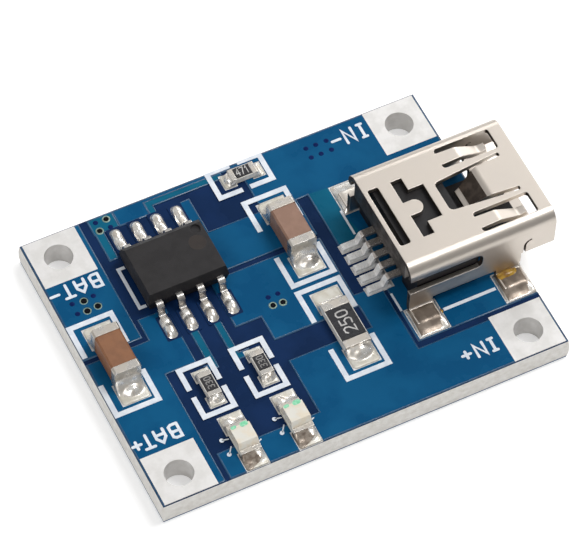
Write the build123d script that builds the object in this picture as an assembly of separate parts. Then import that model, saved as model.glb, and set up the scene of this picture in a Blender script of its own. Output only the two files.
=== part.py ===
"""A lithium battery charger board: a two-layer circuit board with four wire terminals, a charger chip,
two big ceramic capacitors, four resistors, two lamps and a mini USB socket that overhangs one end.

Millimetres. X runs along the board to the USB end, Y across it, Z up.
The origin is the centre of the board's underside."""

import os

from build123d import *

os.makedirs("parts", exist_ok=True)

# Board: laminate, copper, solder mask and white ink, snapped out of a panel along scored lines
board_l = 25.0
board_w = 19.0
board_t = 1.6
copper_t = 0.05
mask_t = 0.03
ink_t = 0.02
ink_shift_x = -0.15
score_web = 0.6
score_out = 0.06
copper_margin = 0.12

# Wire terminals: a square tinned pad on both faces, joined through a plated hole
hole_inset_x = 1.70
hole_inset_y = 1.60
hole_r = 0.84
plate_t = 0.05
terminal_size = 3.24
terminal_inset_x = 0.11
terminal_inset_y = 0.06

# Vias that the mask leaves open, as offsets from the output capacitor
via_r = 0.14
via_wall = 0.06
via_ring = 0.07
via_offsets = ((0.11, 4.54), (0.01, 3.85), (0.68, 3.90))

# Charger chip: an eight-lead moulded package with a metal pad underneath
chip_w = 3.9
chip_h = 1.4
chip_standoff = 0.1
chip_draft = 0.14
chip_bevel = 0.28
lead_pitch = 1.27
lead_end = 0.595
lead_w = 0.41
lead_t = 0.2
lead_shoulder = 0.3
lead_reach = 1.05
lead_foot = 0.62
lead_bend_r = 0.22
lead_root = 0.35
lead_land_side = 0.125
lead_land_toe = 1.12
lead_land_l = 1.62
thermal_l = 3.2
thermal_w = 2.3
dimple_r = 0.3
dimple_depth = 0.12
dimple_inset = 0.62

# Two-ended chips: the ceramic capacitors and the chip resistors
cap_l, cap_w, cap_h = 3.2, 1.6, 1.55
cap_band = 0.5
res_l, res_w, res_h = 3.2, 1.6, 0.55
res_band = 0.5
small_l, small_w, small_h = 1.6, 0.8, 0.45
small_band = 0.3
cap_skin = 0.03
coat_t = 0.03
coat_side = 0.05
cap_bevel = 0.1

# Lamps: a base with metal ends, a drafted lens and the die inside it
lamp_l, lamp_w, lamp_h = 2.0, 1.25, 0.82
lamp_base_h = 0.34
lamp_band = 0.36
lamp_ledge = 0.29
lamp_lens_lean = 0.16
lamp_die = 0.3

# Lands under the two-ended chips: past each side, past each end, and length along the chip
big_land = (0.035, 1.15, 1.45)
small_land = (0.075, 0.46, 0.72)
lamp_land = (0.055, 0.88, 1.20)
mask_gap = 0.05
frame_stroke = 0.31
frame_side_gap = 0.29
frame_end_gap = 0.24
big_frame_break = 2.0
small_frame_break = 0.48
bracket_stroke = 0.2
bracket_h = 3.06
bracket_arm = 0.5
bracket_gap = 0.2

# Solder: how far it wets past the metal it holds, and where its hollow slope has its waist
wet = 0.04
solder_lip = 0.08
waist_in = 0.6
waist_up = 0.35
tall_climb = 0.66
low_climb = 0.8
foot_climb = 1.15

# Mini USB socket: a folded sheet shell round a moulded core that holds five contacts
usb_y = -0.12
shell_overhang = 1.95
shell_l = 9.15
shell_w = 7.7
shell_h = 3.9
shell_t = 0.3
shell_top_r = 0.75
mouth_l = 2.1
mouth_step = 1.42
mouth_pinch = 1.2
mouth_slope = 0.3
mouth_low_r = 0.45

# Side walls: a strip with two bent-out legs under a long slot, and a curved relief at the mouth
leg_w = 1.5
leg_out = 1.25
leg_bend_r = 0.28
front_leg_in = 0.05
leg_land_over = 0.4
leg_land_toe = 0.75
leg_land_heel = 0.2
strip_low = 0.66
strip_high = 1.75
slot_from_top = 1.0
slot_l = 4.55
slot_r = 0.4
relief_in = 0.6
relief_up = 0.62
relief_r = 0.41
relief_w = 0.14
relief_tail = 0.2
flap_h = 1.5
flap_w = 6.2

# Roof: the springs' openings, the E-shaped hole and the rear slot
lip_centre = 1.0
centre_opening_l = 4.25
centre_opening_w = (2.84, 2.06)
centre_opening_r = (0.12, 0.3)
lip_side = 0.78
side_opening_l = 3.47
side_opening_w = 1.42
side_opening_r = 0.18
side_at = 2.4
tooth_in = 1.72
tooth_l = 0.5
tooth_w = 0.96
head_l = 0.68
head_w = 4.1
stem_l = 1.62
stem_w = 2.36
rear_slot_in = 0.27
rear_slot_l = 0.66
rear_slot_w = 4.15
rear_slot_r = 0.14
roof_shift_y = 0.09

# Springs: flat length, whole length, lip length, drop at the lip, drop at the tip and bend radius, then the
# widths at the root, the bend and the tip
spring_root = 0.3
centre_spring_line = (1.75, 3.10, 0.35, 0.85, 0.95, 0.5)
centre_spring_w = (2.32, 2.04, 1.24)
side_spring_line = (1.20, 3.00, 0.50, 0.50, 0.45, 0.6)
side_spring_w = (0.84, 0.76, 0.48)

# Contacts and the core that carries them
contact_pitch = 0.8
contact_w = 0.42
contact_t = 0.2
contact_rise = 0.6
contact_foot = 0.95
contact_slope = 0.25
contact_out = 1.45
contact_bend_r = 0.16
contact_land_side = 0.06
contact_land_toe = 0.08
contact_land_l = 1.6
contact_tip = 0.5
core_back = 0.62
core_l = 3.85
core_fit = 0.05
core_notch = 0.5
tongue_side = 0.14
tongue_t = 0.95
tongue_short = 1.1
fit = 0.02

# Places of the components
output_cap_in = 1.62
output_cap_y = 0.03
column_gap = 3.64
input_cap_y = 3.53
sense_y = -3.32
chip_left_share = 0.374
lamp_pitch = 3.22
lamp_left_share = 0.324
far_share = 0.263
middle_share = 0.174
near_share = 0.016
small_shift = 0.21
program_out = 6.35
program_in = 0.98

# Ink beside the socket
outline_stroke = 0.2
outline_out = 0.68
outline_gap = 0.15
outline_back = 0.38
back_stroke = 0.13
back_marks = ((2.2, 4.0), (-3.6, -2.3))

# Sizes and heights that follow
chip_l = 3 * lead_pitch + 2 * lead_end
lead_span = chip_w + 2 * lead_reach
copper_top = board_t - mask_t
core_top = copper_top - copper_t
core_low = copper_t + mask_t
shell_front = board_l / 2 + shell_overhang
shell_back = shell_front - shell_l
shell_top = board_t + shell_h
contact_z = board_t + contact_rise + contact_t / 2
core_front = shell_back + core_back + core_l
tongue_w = 4 * contact_pitch + contact_w + 2 * tongue_side

# The output capacitor stands near the left edge, and the input capacitor and the sense resistor stand in a
# column behind the socket. The chip takes its place in the room between them, the lamps theirs between the
# battery terminal and that column, and across the board the chip, the small resistors and the lamps share the
# room that their lands leave, from the far edge to the near one.
output_cap_at = (output_cap_in - board_l / 2, output_cap_y)
input_cap_at = (shell_back - column_gap, input_cap_y)
sense_at = (shell_back - column_gap, sense_y)
big_half = cap_w / 2 + big_land[0]
chip_room = (input_cap_at[0] - big_half) - (output_cap_at[0] + big_half) - chip_l
chip_x = output_cap_at[0] + big_half + chip_room * chip_left_share + chip_l / 2
lamp_row_w = lamp_pitch + lamp_w + 2 * lamp_land[0]
lamp_left = terminal_inset_x + terminal_size - board_l / 2
lamp_room = (sense_at[0] - big_half) - lamp_left - lamp_row_w
left_lamp_x = lamp_left + lamp_room * lamp_left_share + (lamp_row_w - lamp_pitch) / 2
chip_depth = lead_span + 2 * lead_land_toe
small_depth = small_l + 2 * small_land[1]
lamp_depth = lamp_l + 2 * lamp_land[1]
depth_room = board_w - chip_depth - small_depth - lamp_depth
chip_y = board_w / 2 - depth_room * far_share - chip_depth / 2
lamp_y = depth_room * near_share + lamp_depth / 2 - board_w / 2
small_y = lamp_y + lamp_depth / 2 + depth_room * middle_share + small_depth / 2
chip_at = (chip_x, chip_y)
left_lamp_at = (left_lamp_x, lamp_y)
right_lamp_at = (left_lamp_x + lamp_pitch, lamp_y)
left_res_at = (left_lamp_x - small_shift, small_y)
right_res_at = (left_lamp_x + lamp_pitch - small_shift, small_y)
program_res_at = (chip_x + program_out, board_w / 2 - program_in)

# Top copper, net by net. Each rectangle is two opposite corners, and each corner is a part and an offset
# from it. An offset of past runs over the board's edge, where the copper's outline cuts it.
past = board_l
top_nets = {
    "battery_minus": [(output_cap_at, (-past, 0.97), output_cap_at, (1.93, past))],
    "battery_plus": [
        (output_cap_at, (-past, -1.78), output_cap_at, (3.98, 0.52)),
        (output_cap_at, (2.33, 0.30), chip_at, (-1.55, -2.15)),
        (output_cap_at, (-past, -past), output_cap_at, (2.08, -1.50)),
    ],
    "chip_supply": [
        (chip_at, (-2.95, 4.20), chip_at, (-1.53, past)),
        (chip_at, (-2.90, 2.25), chip_at, (-2.50, 4.30)),
    ],
    "left_lamp": [
        (left_res_at, (0.38, 1.03), left_res_at, (1.03, 1.33)),
        (left_res_at, (0.68, 1.03), chip_at, (-0.55, -3.40)),
    ],
    "right_lamp": [
        (right_res_at, (-1.11, 1.03), right_res_at, (-0.19, 1.33)),
        (right_res_at, (-1.11, 1.03), chip_at, (0.85, -3.40)),
    ],
    "program": [
        (chip_at, (0.50, 4.68), program_res_at, (-1.10, 0.66)),
        (chip_at, (0.50, 3.80), chip_at, (0.80, 4.98)),
    ],
    "sensed_supply": [
        (chip_at, (1.55, -4.80), input_cap_at, (1.34, -0.88)),
        (sense_at, (-3.86, 1.02), input_cap_at, (1.34, -2.00)),
    ],
    "input_plus": [
        (sense_at, (-3.76, -past), sense_at, (past, -3.08)),
        (sense_at, (-3.76, -3.30), sense_at, (2.99, -0.68)),
        (sense_at, (1.39, -0.90), sense_at, (2.99, 1.67)),
        (left_lamp_at, (-1.63, -past), left_lamp_at, (past, -0.20)),
    ],
    "ground": [
        (chip_at, (-1.70, -1.25), chip_at, (2.30, 1.25)),
        (chip_at, (2.05, -1.10), chip_at, (2.85, 4.10)),
        (chip_at, (2.05, -1.10), input_cap_at, (1.34, 2.22)),
        (input_cap_at, (-0.61, 2.22), input_cap_at, (3.34, 2.77)),
        (input_cap_at, (-0.61, 2.57), input_cap_at, (past, past)),
        (input_cap_at, (2.21, -1.83), input_cap_at, (3.34, 2.40)),
        (sense_at, (3.34, -2.53), input_cap_at, (past, 2.70)),
        (chip_at, (-1.37, 4.20), chip_at, (0.38, past)),
        (chip_at, (-1.37, 5.07), input_cap_at, (-0.50, past)),
    ],
}


def span(x0, x1, y0, y1, grow=0.0):
    """A rectangle given by its limits, each side moved out by grow."""
    return Pos((x0 + x1) / 2, (y0 + y1) / 2) * Rectangle(x1 - x0 + 2 * grow, y1 - y0 + 2 * grow)


def slab(sketch, low, high):
    """A flat sketch made solid between two heights."""
    return extrude(Pos(0, 0, low) * sketch, amount=high - low)


def block(x0, x1, y0, y1, z0, z1):
    """A plain block given by its limits."""
    return slab(span(x0, x1, y0, y1), z0, z1)


def bent_strip(points, radius, width, thickness, across):
    """A strip of sheet metal that follows a bent line in one plane; across is that plane's normal."""
    line = FilletPolyline(*points, radius=radius)
    start = Plane(origin=line @ 0, x_dir=across, z_dir=line % 0)
    return sweep(start * Rectangle(width, thickness), path=line)


# Lands, worked out from the parts that stand on them


def end_lands(at, length, width, land, along_y=True):
    """The two lands of a two-ended chip as (centre, size) pairs."""
    past_side, past_end, land_l = land
    reach = length / 2 + past_end - land_l / 2
    size = (width + 2 * past_side, land_l)
    x, y = at
    if along_y:
        return [((x, y + side * reach), size) for side in (1, -1)]
    return [((x + side * reach, y), size[::-1]) for side in (1, -1)]


def lead_places():
    """X of the chip's leads, from left to right."""
    return [chip_x + (i - 1.5) * lead_pitch for i in range(4)]


def chip_lands():
    reach = lead_span / 2 + lead_land_toe - lead_land_l / 2
    size = (lead_w + 2 * lead_land_side, lead_land_l)
    return [((x, chip_y + side * reach), size) for side in (1, -1) for x in lead_places()]


def contact_places():
    """Y of the socket's five contacts."""
    return [usb_y + (i - 2) * contact_pitch for i in range(5)]


def contact_lands():
    x = shell_back - contact_out - contact_land_toe + contact_land_l / 2
    return [((x, y), (contact_land_l, contact_w + 2 * contact_land_side)) for y in contact_places()]


def leg_places():
    """Middle of each shell leg along the board, rear then front."""
    return (shell_back + leg_w / 2, shell_front - mouth_l - front_leg_in - leg_w / 2)


def leg_lands():
    size = (leg_w + leg_land_over, leg_out + leg_land_toe + leg_land_heel - shell_t / 2)
    reach = shell_w / 2 - leg_land_heel + size[1] / 2
    return [((x, usb_y + side * reach), size) for x in leg_places() for side in (1, -1)]


def big_lands(at):
    return end_lands(at, cap_l, cap_w, big_land)


def sense_lands():
    return end_lands(sense_at, res_l, res_w, big_land)


def small_lands(at, along_y=True):
    return end_lands(at, small_l, small_w, small_land, along_y)


def lamp_lands(at):
    return end_lands(at, lamp_l, lamp_w, lamp_land)


def all_lands():
    lands = chip_lands() + contact_lands() + leg_lands() + sense_lands()
    for at in (input_cap_at, output_cap_at):
        lands += big_lands(at)
    for at in (left_res_at, right_res_at):
        lands += small_lands(at)
    lands += small_lands(program_res_at, along_y=False)
    for at in (left_lamp_at, right_lamp_at):
        lands += lamp_lands(at)
    return lands


def land_faces(lands, grow=0.0):
    return Sketch() + [Pos(*at) * Rectangle(size[0] + 2 * grow, size[1] + 2 * grow) for at, size in lands]


def corners(x, y):
    """The four corner places of a rectangle, near left, far left, near right and far right."""
    return [(side_x * x, side_y * y) for side_x in (-1, 1) for side_y in (-1, 1)]


def terminal_centres():
    return corners(board_l / 2 - terminal_inset_x - terminal_size / 2,
                   board_w / 2 - terminal_inset_y - terminal_size / 2)


def hole_centres():
    return corners(board_l / 2 - hole_inset_x, board_w / 2 - hole_inset_y)


def terminal_faces(grow=0.0):
    side = terminal_size + 2 * grow
    return Sketch() + [Pos(*at) * Rectangle(side, side) for at in terminal_centres()]


def via_discs(radius):
    x, y = output_cap_at
    return Sketch() + [Pos(x + dx, y + dy) * Circle(radius) for dx, dy in via_offsets]


# The bare board


def board_core():
    """Glass laminate: scored from both faces and snapped, so its middle stands a little proud."""
    face = Rectangle(board_l, board_w)
    web = Rectangle(board_l + 2 * score_out, board_w + 2 * score_out)
    middle = board_t / 2
    upper = loft([Pos(0, 0, middle + score_web / 2) * web, Pos(0, 0, core_top) * face], ruled=True)
    lower = loft([Pos(0, 0, core_low) * face, Pos(0, 0, middle - score_web / 2) * web], ruled=True)
    core = upper + lower + slab(web, middle - score_web / 2, middle + score_web / 2)
    drill = Sketch() + [Pos(*at) * Circle(hole_r + plate_t) for at in hole_centres()]
    return core - slab(drill + via_discs(via_r + via_wall), core_low, core_top)


def top_copper_face(grow=0.0):
    """All the top copper, each edge moved out by grow and cut to the copper's outline."""
    face = land_faces(all_lands(), grow)
    for rectangles in top_nets.values():
        for low, low_offset, high, high_offset in rectangles:
            face += span(low[0] + low_offset[0], high[0] + high_offset[0],
                         low[1] + low_offset[1], high[1] + high_offset[1], grow)
    inset = copper_margin - grow
    return face & Rectangle(board_l - 2 * inset, board_w - 2 * inset)


def top_copper():
    face = top_copper_face() - terminal_faces() - via_discs(via_r + via_wall)
    return slab(face, core_top, copper_top)


def bottom_copper():
    """One ground pour, cut out for the four terminals and kept clear of the two plus ones."""
    pour = Rectangle(board_l - 2 * copper_margin, board_w - 2 * copper_margin)
    battery_plus, _, input_plus, _ = terminal_centres()
    for at in terminal_centres():
        clear = 2 * copper_margin if at in (battery_plus, input_plus) else 0.0
        pour -= Pos(*at) * Rectangle(terminal_size + 2 * clear, terminal_size + 2 * clear)
    return slab(pour, mask_t, core_low)


def top_mask():
    """Solder mask: a thin coat that follows the copper's edges and stops short of every land."""
    outline = Rectangle(board_l, board_w)
    coat = slab(outline, core_top, core_top + mask_t)
    coat += slab(top_copper_face(mask_t) & outline, core_top, board_t)
    openings = land_faces(all_lands(), mask_gap) + terminal_faces() + via_discs(via_r + via_wall + via_ring)
    openings += Pos(chip_x, chip_y) * Rectangle(thermal_l, thermal_w)
    coat -= slab(openings, core_top, board_t)
    return coat - top_copper()


def bottom_mask():
    """Solder mask below: it covers the ground pour and the gaps in it, and stops at the terminals."""
    outline = Rectangle(board_l, board_w) - terminal_faces()
    return slab(outline, 0, core_low) - bottom_copper()


def via_barrels():
    """The plated walls that join the battery's minus side to the ground pour below."""
    wall = via_discs(via_r + via_wall) - via_discs(via_r)
    return slab(wall, core_low, copper_top)


def terminal(centre, hole):
    """A tinned pad on each face and the plated barrel between them, as one piece of metal."""
    pad = Pos(*centre) * Rectangle(terminal_size, terminal_size)
    bore = Pos(*hole) * Circle(hole_r)
    barrel = Pos(*hole) * Circle(hole_r + plate_t)
    metal = slab(pad, core_top, board_t) + slab(pad, 0, core_low) + slab(barrel, core_low, core_top)
    return metal - slab(bore, 0, board_t)


def ink_frame(at, length, width, land, gap, along_y=True):
    """Two U shapes that face each other round a component and its lands."""
    past_side, past_end, _ = land
    outer = (width + 2 * (past_side + frame_side_gap + frame_stroke),
             length + 2 * (past_end + frame_end_gap + frame_stroke))
    split = (2 * outer[0], gap)
    if not along_y:
        outer, split = outer[::-1], split[::-1]
    inner = Rectangle(outer[0] - 2 * frame_stroke, outer[1] - 2 * frame_stroke)
    return Pos(at[0] + ink_shift_x, at[1]) * (Rectangle(*outer) - inner - Rectangle(*split))


def chip_bracket():
    """The bracket printed beside the charger chip's left end."""
    x1 = chip_x - chip_l / 2 - bracket_gap
    x0 = x1 - bracket_stroke
    low, high = chip_y - bracket_h / 2, chip_y + bracket_h / 2
    stem = span(x0, x1, low, high)
    return stem + span(x0, x0 + bracket_arm, low, low + bracket_stroke) \
        + span(x0, x0 + bracket_arm, high - bracket_stroke, high)


def socket_outline():
    """The socket's printed outline, which shows between its legs and behind it."""
    back = shell_back - outline_back
    lines = Sketch() + [span(back, back + back_stroke, usb_y + low, usb_y + high) for low, high in back_marks]
    rear_land, _, front_land, _ = leg_lands()
    x0 = rear_land[0][0] + rear_land[1][0] / 2 + outline_gap
    x1 = front_land[0][0] - front_land[1][0] / 2 - outline_gap
    for side in (1, -1):
        middle = usb_y + side * (shell_w / 2 + outline_out)
        lines += span(x0, x1, middle - outline_stroke / 2, middle + outline_stroke / 2)
    return lines


def top_silkscreen():
    """White ink: the frames round the chips, the bracket beside the charger chip and the socket's outline."""
    ink = chip_bracket() + socket_outline()
    ink += ink_frame(sense_at, res_l, res_w, big_land, big_frame_break)
    for at in (input_cap_at, output_cap_at):
        ink += ink_frame(at, cap_l, cap_w, big_land, big_frame_break)
    for at in (left_res_at, right_res_at):
        ink += ink_frame(at, small_l, small_w, small_land, small_frame_break)
    ink += ink_frame(program_res_at, small_l, small_w, small_land, small_frame_break, along_y=False)
    bare = land_faces(all_lands(), mask_gap) + via_discs(via_r + via_wall + via_ring)
    return slab((ink & Rectangle(board_l, board_w)) - bare, board_t, board_t + ink_t)


# Solder


def joint(land, top_centre, top_size, height):
    """A solder fillet: it wets the whole land and climbs in a hollow slope to the metal it holds."""
    at, size = land
    waist_centre = [at[i] + (top_centre[i] - at[i]) * waist_in for i in (0, 1)]
    waist_size = [size[i] + (top_size[i] - size[i]) * waist_in for i in (0, 1)]
    sections = [
        Pos(*at, copper_top) * Rectangle(*size),
        Pos(*waist_centre, copper_top + height * waist_up) * Rectangle(*waist_size),
        Pos(*top_centre, copper_top + height) * Rectangle(*top_size),
    ]
    return loft(sections, ruled=True)


def chip_joints(lands, at, length, width, band, height, along_y=True):
    """The two joints of a two-ended chip; the chip's own block is cut out of them."""
    depth = band + solder_lip
    offset = length / 2 + solder_lip - depth / 2
    solids = []
    for side, land in zip((1, -1), lands):
        centre = (at[0], at[1] + side * offset) if along_y else (at[0] + side * offset, at[1])
        top = (width + wet, depth) if along_y else (depth, width + wet)
        solids.append(joint(land, centre, top, height))
    extent = (width, length) if along_y else (length, width)
    chip = slab(Pos(*at) * Rectangle(*extent), board_t, board_t + 2 * height)
    return Compound([solid - chip for solid in solids])


# Charger chip


def chip_lead(x, side):
    """A gull-wing lead from inside the moulding down to its foot."""
    root_z = board_t + chip_standoff + chip_h / 2
    foot_z = board_t + lead_t / 2
    toe = lead_span / 2
    heel = toe - lead_foot
    shoulder = chip_w / 2 + lead_shoulder
    path = [(x, chip_y + side * y, z) for y, z in
            ((chip_w / 2 - lead_root, root_z), (shoulder, root_z), (heel, foot_z), (toe, foot_z))]
    return bent_strip(path, lead_bend_r, lead_w, lead_t, (1, 0, 0))


def chip_leads():
    return Compound([chip_lead(x, side) for side in (1, -1) for x in lead_places()])


def chip_body():
    """Moulded body with drafted sides, a long bevel by the first row of leads and a round mark."""
    low = board_t + chip_standoff
    middle, high = low + chip_h / 2, low + chip_h
    waist = Pos(chip_x, chip_y) * Rectangle(chip_l, chip_w)
    face = Pos(chip_x, chip_y) * Rectangle(chip_l - 2 * chip_draft, chip_w - 2 * chip_draft)
    body = loft([Pos(0, 0, low) * face, Pos(0, 0, middle) * waist, Pos(0, 0, high) * face], ruled=True)
    far_edge = body.faces().sort_by(Axis.Z)[-1].edges().sort_by(Axis.Y)[-1]
    body = chamfer(far_edge, chip_bevel)
    mark = (chip_x + chip_l / 2 - dimple_inset, chip_y + chip_w / 2 - dimple_inset - chip_bevel / 2)
    body -= slab(Pos(*mark) * Circle(dimple_r), high - dimple_depth, high)
    for lead in chip_leads().solids():
        body -= lead
    return body


def chip_thermal_pad():
    """The metal pad under the chip, with its solder, down to the board's copper."""
    return slab(Pos(chip_x, chip_y) * Rectangle(thermal_l, thermal_w), copper_top, board_t + chip_standoff)


def chip_solder():
    solids = []
    for land, lead in zip(chip_lands(), chip_leads().solids()):
        side = 1 if land[0][1] > chip_y else -1
        foot = (land[0][0], chip_y + side * (lead_span - lead_foot + wet) / 2)
        solids.append(joint(land, foot, (lead_w + 2 * wet, lead_foot + 2 * wet), lead_t * foot_climb) - lead)
    return Compound(solids)


# Ceramic capacitors


def long_block(at, length, width, height, low, bevel):
    """A block along Y with its four long edges bevelled."""
    section = Rectangle(width, height)
    section = Plane.XZ * chamfer(section.vertices(), bevel)
    return Pos(*at, low + height / 2) * extrude(section, amount=length / 2, both=True)


def capacitor_body(at):
    return long_block(at, cap_l - 2 * cap_skin, cap_w - 2 * cap_skin, cap_h - 2 * cap_skin,
                      board_t + cap_skin, cap_bevel)


def capacitor_caps(at):
    """Dipped metal ends: a closed cap over each end of the ceramic."""
    between = Pos(*at) * Rectangle(2 * cap_w, cap_l - 2 * cap_band)
    ends = long_block(at, cap_l, cap_w, cap_h, board_t, cap_bevel) - slab(between, 0, board_t + 2 * cap_h)
    return ends - capacitor_body(at)


# Chip resistors


def resistor(at, length, width, height, band, along_y=True):
    """Alumina plate, metal ends folded round it and the glass coat between them on top."""
    low = board_t + cap_skin
    high = board_t + height - cap_skin
    between = Rectangle(2 * width, length - 2 * band)
    plate = slab(Rectangle(width, length - 2 * cap_skin), low, high)
    ends = slab(Rectangle(width, length), board_t, board_t + height)
    ends -= slab(between, 0, board_t + 2 * height)
    ends -= slab(Rectangle(2 * width, length - 2 * cap_skin), low, high)
    coat = slab(Rectangle(width - 2 * coat_side, length - 2 * band), high, high + cap_skin + coat_t)
    coat = chamfer(coat.faces().sort_by(Axis.Z)[-1].edges(), coat_t)
    place = Pos(*at) * Rot(0, 0, 0 if along_y else 90)
    return place * plate, place * ends, place * coat


# Lamps


def lamp(at):
    """A small surface lamp: base with metal ends, a drafted resin lens and the die it covers."""
    low = board_t + cap_skin
    top = board_t + lamp_base_h
    lens_l = lamp_l - 2 * lamp_ledge
    base = slab(Rectangle(lamp_w, lamp_l - 2 * cap_skin), low, top)
    ends = slab(Rectangle(lamp_w, lamp_l), board_t, top + cap_skin)
    ends -= slab(Rectangle(2 * lamp_w, lamp_l - 2 * lamp_band), 0, shell_top)
    ends -= slab(Rectangle(2 * lamp_w, lamp_l - 2 * cap_skin), low, top)
    foot = Rectangle(lamp_w, lens_l)
    head = Rectangle(lamp_w - lamp_lens_lean / 2, lens_l - 2 * lamp_lens_lean)
    lens = loft([Pos(0, 0, top) * foot, Pos(0, 0, board_t + lamp_h) * head], ruled=True)
    die = slab(Rectangle(lamp_die, lamp_die), top, top + lamp_die / 2)
    place = Pos(*at)
    return place * base, place * (ends - lens), place * (lens - die), place * die


# USB socket


def mouth_profile(shrink=0.0):
    """The plug opening's outline seen from the front: wide above, stepped in below."""
    wide = shell_w / 2 - shrink
    narrow = wide - mouth_pinch
    low, step, high = board_t + shrink, board_t + mouth_step + shrink, shell_top - shrink
    right = [(narrow, low), (narrow, step - mouth_slope), (wide, step), (wide, high)]
    face = make_face(Polyline(*right, *[(-y, z) for y, z in reversed(right)], close=True))
    face = fillet(face.vertices().group_by(Axis.Y)[-1], shell_top_r - shrink)
    return fillet(face.vertices().group_by(Axis.Y)[0], mouth_low_r - shrink)


def arch_profile(shrink=0.0):
    """The rear of the shell: a flat top with straight sides down to the board."""
    high = shell_top - shrink
    face = Pos(0, (high + board_t) / 2) * Rectangle(shell_w - 2 * shrink, high - board_t)
    return fillet(face.vertices().group_by(Axis.Y)[-1], shell_top_r - shrink)


def along_socket(face, x0, x1):
    """A profile of the socket's cross-section made solid from x0 to x1."""
    return Pos(x0, usb_y, 0) * extrude(Plane.YZ * face, amount=x1 - x0)


def spring(x, y, toward, line, widths):
    """A tongue cut from the roof, rooted at x and bent down: its side view, trimmed by its tapered plan."""
    flat_l, whole_l, lip_l, lip_drop, tip_drop, bend_r = line
    roof = shell_top - shell_t / 2
    side_view = ((-spring_root, roof), (flat_l, roof), (whole_l - lip_l, roof - lip_drop),
                 (whole_l, roof - tip_drop))
    points = [(x + toward * along, y, z) for along, z in side_view]
    strip = bent_strip(points, bend_r, widths[0], shell_t, (0, 1, 0))
    stations = zip((-spring_root, 0, flat_l, whole_l), (widths[0], *widths))
    edge = [(x + toward * along, width / 2) for along, width in stations]
    plan = Pos(0, y) * make_face(Polyline(*edge, *[(px, -py) for px, py in reversed(edge)], close=True))
    return strip & slab(plan, board_t, shell_top + shell_t)


def centre_opening():
    """The hole round the centre spring, wider at the mouth."""
    front = shell_front - lip_centre
    back = front - centre_opening_l
    front_w, back_w = centre_opening_w
    right = [(back, back_w / 2), (front, front_w / 2)]
    face = make_face(Polyline(*right, *[(x, -y) for x, y in reversed(right)], close=True))
    face = fillet(face.vertices().group_by(Axis.X)[0], centre_opening_r[1])
    return Pos(0, usb_y) * fillet(face.vertices().group_by(Axis.X)[-1], centre_opening_r[0])


def side_opening(side):
    face = RectangleRounded(side_opening_l, side_opening_w, side_opening_r)
    return Pos(shell_front - lip_side - side_opening_l / 2, usb_y + side * side_at) * face


def trident_opening():
    """The E-shaped hole in the roof: a slot with two arms round a round-ended tooth."""
    back = shell_back + tooth_in
    face = span(back, back + head_l, -head_w / 2, head_w / 2)
    face += span(back, back + stem_l, -stem_w / 2, stem_w / 2)
    face -= span(back, back + tooth_l, -tooth_w / 2, tooth_w / 2)
    face -= Pos(back + tooth_l, 0) * Circle(tooth_w / 2)
    return Pos(0, usb_y + roof_shift_y) * face


def roof_cuts():
    rear_slot = RectangleRounded(rear_slot_l, rear_slot_w, rear_slot_r)
    rear_slot = Pos(shell_back + rear_slot_in + rear_slot_l / 2, usb_y + roof_shift_y) * rear_slot
    cuts = centre_opening() + side_opening(1) + side_opening(-1) + trident_opening() + rear_slot
    return slab(cuts, shell_top - shell_top_r, shell_top + shell_t)


def side_cuts(side):
    """Cut through one side wall: the long slot, the gap under the strip and the relief by the mouth."""
    mouth_back = shell_front - mouth_l
    slot_low, slot_high = board_t + strip_high, shell_top - slot_from_top
    slot_h = slot_high - slot_low
    slot = RectangleRounded(slot_l + 2 * slot_r, slot_h, min(slot_r, slot_h / 2 - fit))
    slot = Pos(shell_back + slot_l / 2 - slot_r, (slot_low + slot_high) / 2) * slot
    under = span(shell_back - shell_t, mouth_back, 0, board_t + strip_low)
    x, z = mouth_back + relief_in, board_t + mouth_step + relief_up
    outer, inner = relief_r + relief_w / 2, relief_r - relief_w / 2
    relief = (Circle(outer) - Circle(inner)) & span(-outer, 0, 0, outer)
    relief = Pos(x, z) * (relief + span(-outer, -inner, -relief_up - relief_tail, 0))
    wall = Plane.XZ * (slot + under + relief)
    return Pos(0, usb_y + side * shell_w / 2, 0) * extrude(wall, amount=2 * shell_t, both=True)


def shell_leg(x, side):
    """A leg that drops from the side strip and turns out flat on its land."""
    wall_y = shell_w / 2 - shell_t / 2
    foot_z = board_t + shell_t / 2
    points = [(x, usb_y + side * y, z) for y, z in
              ((wall_y, board_t + strip_low), (wall_y, foot_z), (wall_y + leg_out, foot_z))]
    return bent_strip(points, leg_bend_r, leg_w, shell_t, (1, 0, 0))


def rear_flap():
    """The flap folded down behind the rear slot, over the top of the moulded core."""
    return block(shell_back, shell_back + shell_t, usb_y - flap_w / 2, usb_y + flap_w / 2,
                 shell_top - flap_h, shell_top - shell_t / 2)


def usb_shell():
    """One folded sheet: an arch at the rear, the stepped mouth in front with its floor carried back under the
    tongue, legs, springs and flap."""
    mouth_back = shell_front - mouth_l
    shell = along_socket(arch_profile(), shell_back, mouth_back)
    shell -= along_socket(arch_profile(shell_t), shell_back, mouth_back)
    shell += along_socket(mouth_profile(), mouth_back, shell_front)
    shell -= along_socket(mouth_profile(shell_t), mouth_back, shell_front)
    floor_half = shell_w / 2 - mouth_pinch - mouth_low_r
    floor_y = (usb_y - floor_half, usb_y + floor_half)
    shell += block(core_front + fit, mouth_back, *floor_y, board_t, board_t + shell_t)
    shell -= roof_cuts()
    for side in (1, -1):
        shell -= side_cuts(side)
        for x in leg_places():
            shell += shell_leg(x, side)
        root = shell_front - lip_side - side_opening_l
        shell += spring(root, usb_y + side * side_at, 1, side_spring_line, side_spring_w)
    shell += spring(shell_front - lip_centre, usb_y, -1, centre_spring_line, centre_spring_w)
    return shell + rear_flap()


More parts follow.
